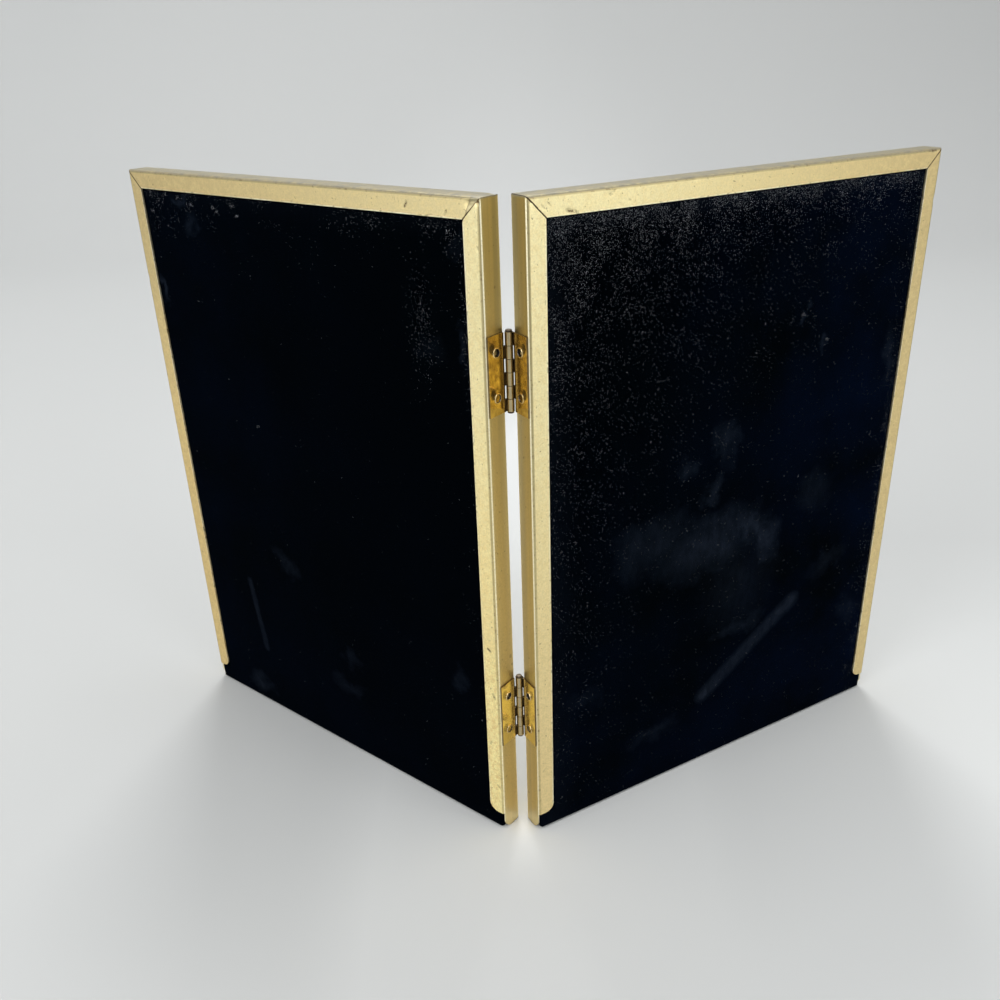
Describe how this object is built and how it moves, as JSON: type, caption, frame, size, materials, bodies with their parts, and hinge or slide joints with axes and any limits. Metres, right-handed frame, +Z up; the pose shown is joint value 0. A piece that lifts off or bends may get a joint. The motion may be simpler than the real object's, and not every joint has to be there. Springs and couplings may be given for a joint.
{
  "type": "hinged double photo frame",
  "caption": "Hinged double photo frame of rolled gold-toned metal rails that opens like a book, with glazed fronts and velvet-covered back panels that slide out at the foot.",
  "frame": {"origin": "centre of the footprint on the floor, with the frame open at its rest angle of 112.4 degrees", "axes": "+Z up along the hinge line, +X towards the right frame, +Y the way the glazed fronts face; the velvet backs face -Y"},
  "size_m": [0.2336, 0.0804, 0.182],
  "materials": {
    "gold_metal": "satin",
    "hinge_brass": "polished",
    "rivet_nickel": "polished",
    "steel": "satin",
    "glass": "gloss",
    "print_paper": "satin",
    "card": "matte",
    "hardboard": "matte",
    "velvet": "matte"
  },
  "bodies": {
    "left_frame": {"left_top_rail": "gold_metal", "left_hinge_stile": "gold_metal", "left_outer_stile": "gold_metal", "left_bottom_rail": "gold_metal", "left_corner_angles": "steel", "left_glass": "glass", "left_photo_insert": "print_paper", "left_filler_card": "card", "upper_left_hinge_leaf": "hinge_brass", "lower_left_hinge_leaf": "hinge_brass", "upper_left_rivets": "rivet_nickel", "lower_left_rivets": "rivet_nickel", "upper_hinge_pin": "steel", "lower_hinge_pin": "steel"},
    "right_frame": {"right_top_rail": "gold_metal", "right_hinge_stile": "gold_metal", "right_outer_stile": "gold_metal", "right_bottom_rail": "gold_metal", "right_corner_angles": "steel", "right_glass": "glass", "right_photo_insert": "print_paper", "right_filler_card": "card", "upper_right_hinge_leaf": "hinge_brass", "lower_right_hinge_leaf": "hinge_brass", "upper_right_rivets": "rivet_nickel", "lower_right_rivets": "rivet_nickel"},
    "left_back": {"left_back_board": "hardboard", "left_velvet_cover": "velvet"},
    "right_back": {"right_back_board": "hardboard", "right_velvet_cover": "velvet"}
  },
  "joints": [
    {"name": "frame_hinge", "type": "hinge", "parent": "left_frame", "child": "right_frame", "pos_m": [0, -0.03451, 0.091], "axis": [0, 0, 1], "range_deg": [-67.6, 112.4]},
    {"name": "left_back_slide", "type": "slide", "parent": "left_frame", "child": "left_back", "axis": [0, 0, -1], "range_m": [0, 0.17]},
    {"name": "right_back_slide", "type": "slide", "parent": "right_frame", "child": "right_back", "axis": [0, 0, -1], "range_m": [0, 0.17]}
  ]
}
